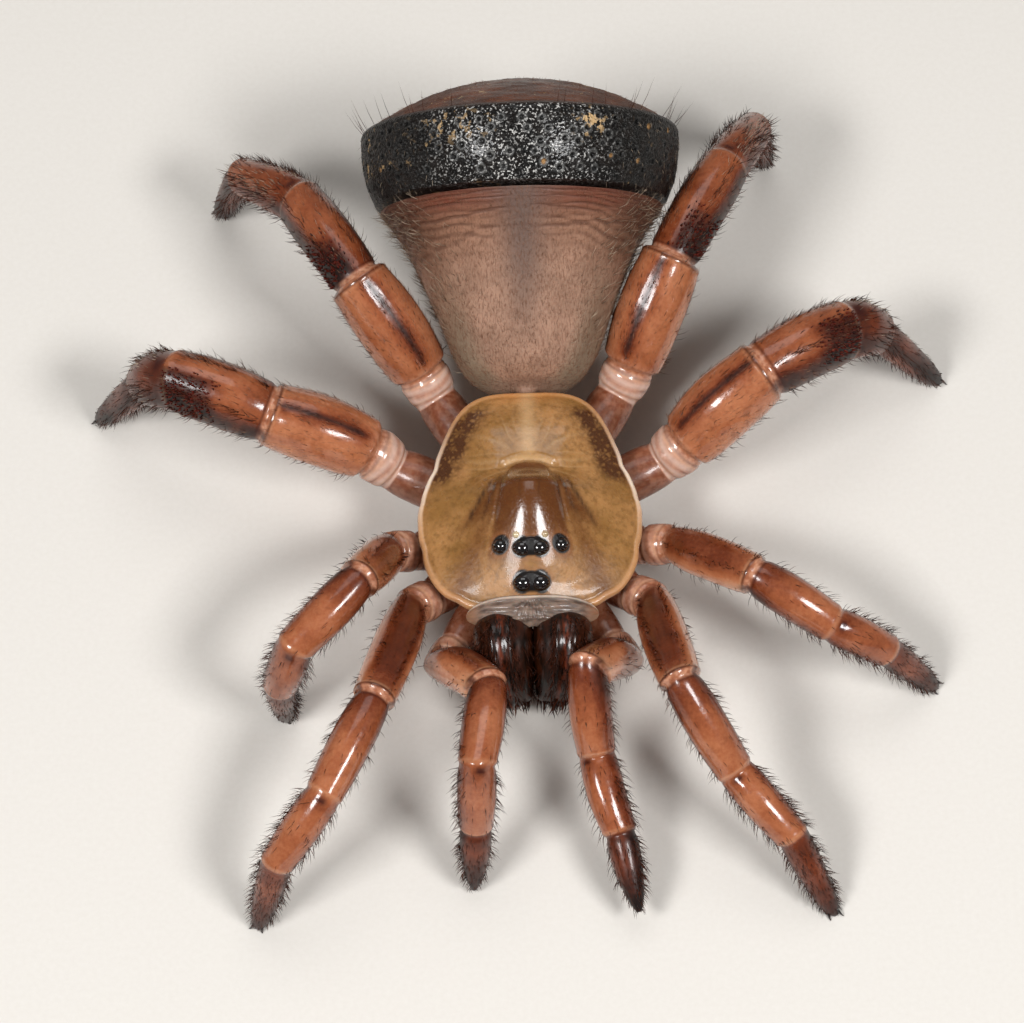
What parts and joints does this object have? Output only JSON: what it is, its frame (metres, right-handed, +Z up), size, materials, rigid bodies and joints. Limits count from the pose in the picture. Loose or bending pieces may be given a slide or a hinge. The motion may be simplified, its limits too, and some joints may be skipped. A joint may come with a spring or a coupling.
{
  "type": "trapdoor spider",
  "caption": "Still, life-size trapdoor spider standing with its legs bent, with a domed front shield and an abdomen that ends behind in a broad hard disc.",
  "frame": {"origin": "on the floor, under the middle of the box around the standing spider", "axes": "+Z up, the spider's head towards -Y, its own left side towards +X"},
  "size_m": [0.0275, 0.0271, 0.0109],
  "materials": {
    "carapace": "smooth glossy tan to olive-brown chitin with a paler rim",
    "joint_skin": "glossy pinkish joint skin and pale brown leg bases",
    "abdomen_skin": "soft mauve-grey skin with short dark hairs",
    "shield": "hard, grainy, pitted black wall with a brown domed disc",
    "chelicera": "glossy black-brown chitin with black bristles",
    "fang": "polished near-black chitin",
    "eye": "polished black lens",
    "leg": "glossy red-brown chitin, slightly see-through at the edges",
    "foot": "dark brown chitin under stiff black hairs",
    "bristle": "stiff dark bristles and fine hairs"
  },
  "bodies": {
    "root": {"carapace": "carapace", "sternum_and_coxae": "joint_skin", "abdomen": "abdomen_skin", "abdomen_shield": "shield", "chelicera_left": "chelicera", "fang_left": "fang", "spinneret_left": "abdomen_skin", "eye_front_lateral_left": "eye", "eye_front_median_left": "eye", "eye_rear_lateral_left": "eye", "eye_rear_median_left": "eye", "palp_left_femur": "leg", "palp_left_patella": "leg", "palp_left_tibia": "leg", "palp_left_tarsus": "foot", "leg1_left_femur": "leg", "leg1_left_patella": "leg", "leg1_left_tibia": "leg", "leg1_left_foot": "foot", "leg2_left_femur": "leg", "leg2_left_patella": "leg", "leg2_left_tibia": "leg", "leg2_left_foot": "foot", "leg3_left_femur": "leg", "leg3_left_patella": "leg", "leg3_left_tibia": "leg", "leg3_left_foot": "foot", "leg4_left_femur": "leg", "leg4_left_patella": "leg", "leg4_left_tibia": "leg", "leg4_left_foot": "foot", "chelicera_right": "chelicera", "fang_right": "fang", "spinneret_right": "abdomen_skin", "eye_front_lateral_right": "eye", "eye_front_median_right": "eye", "eye_rear_lateral_right": "eye", "eye_rear_median_right": "eye", "palp_right_femur": "leg", "palp_right_patella": "leg", "palp_right_tibia": "leg", "palp_right_tarsus": "foot", "leg1_right_femur": "leg", "leg1_right_patella": "leg", "leg1_right_tibia": "leg", "leg1_right_foot": "foot", "leg2_right_femur": "leg", "leg2_right_patella": "leg", "leg2_right_tibia": "leg", "leg2_right_foot": "foot", "leg3_right_femur": "leg", "leg3_right_patella": "leg", "leg3_right_tibia": "leg", "leg3_right_foot": "foot", "leg4_right_femur": "leg", "leg4_right_patella": "leg", "leg4_right_tibia": "leg", "leg4_right_foot": "foot"}
  },
  "joints": []
}
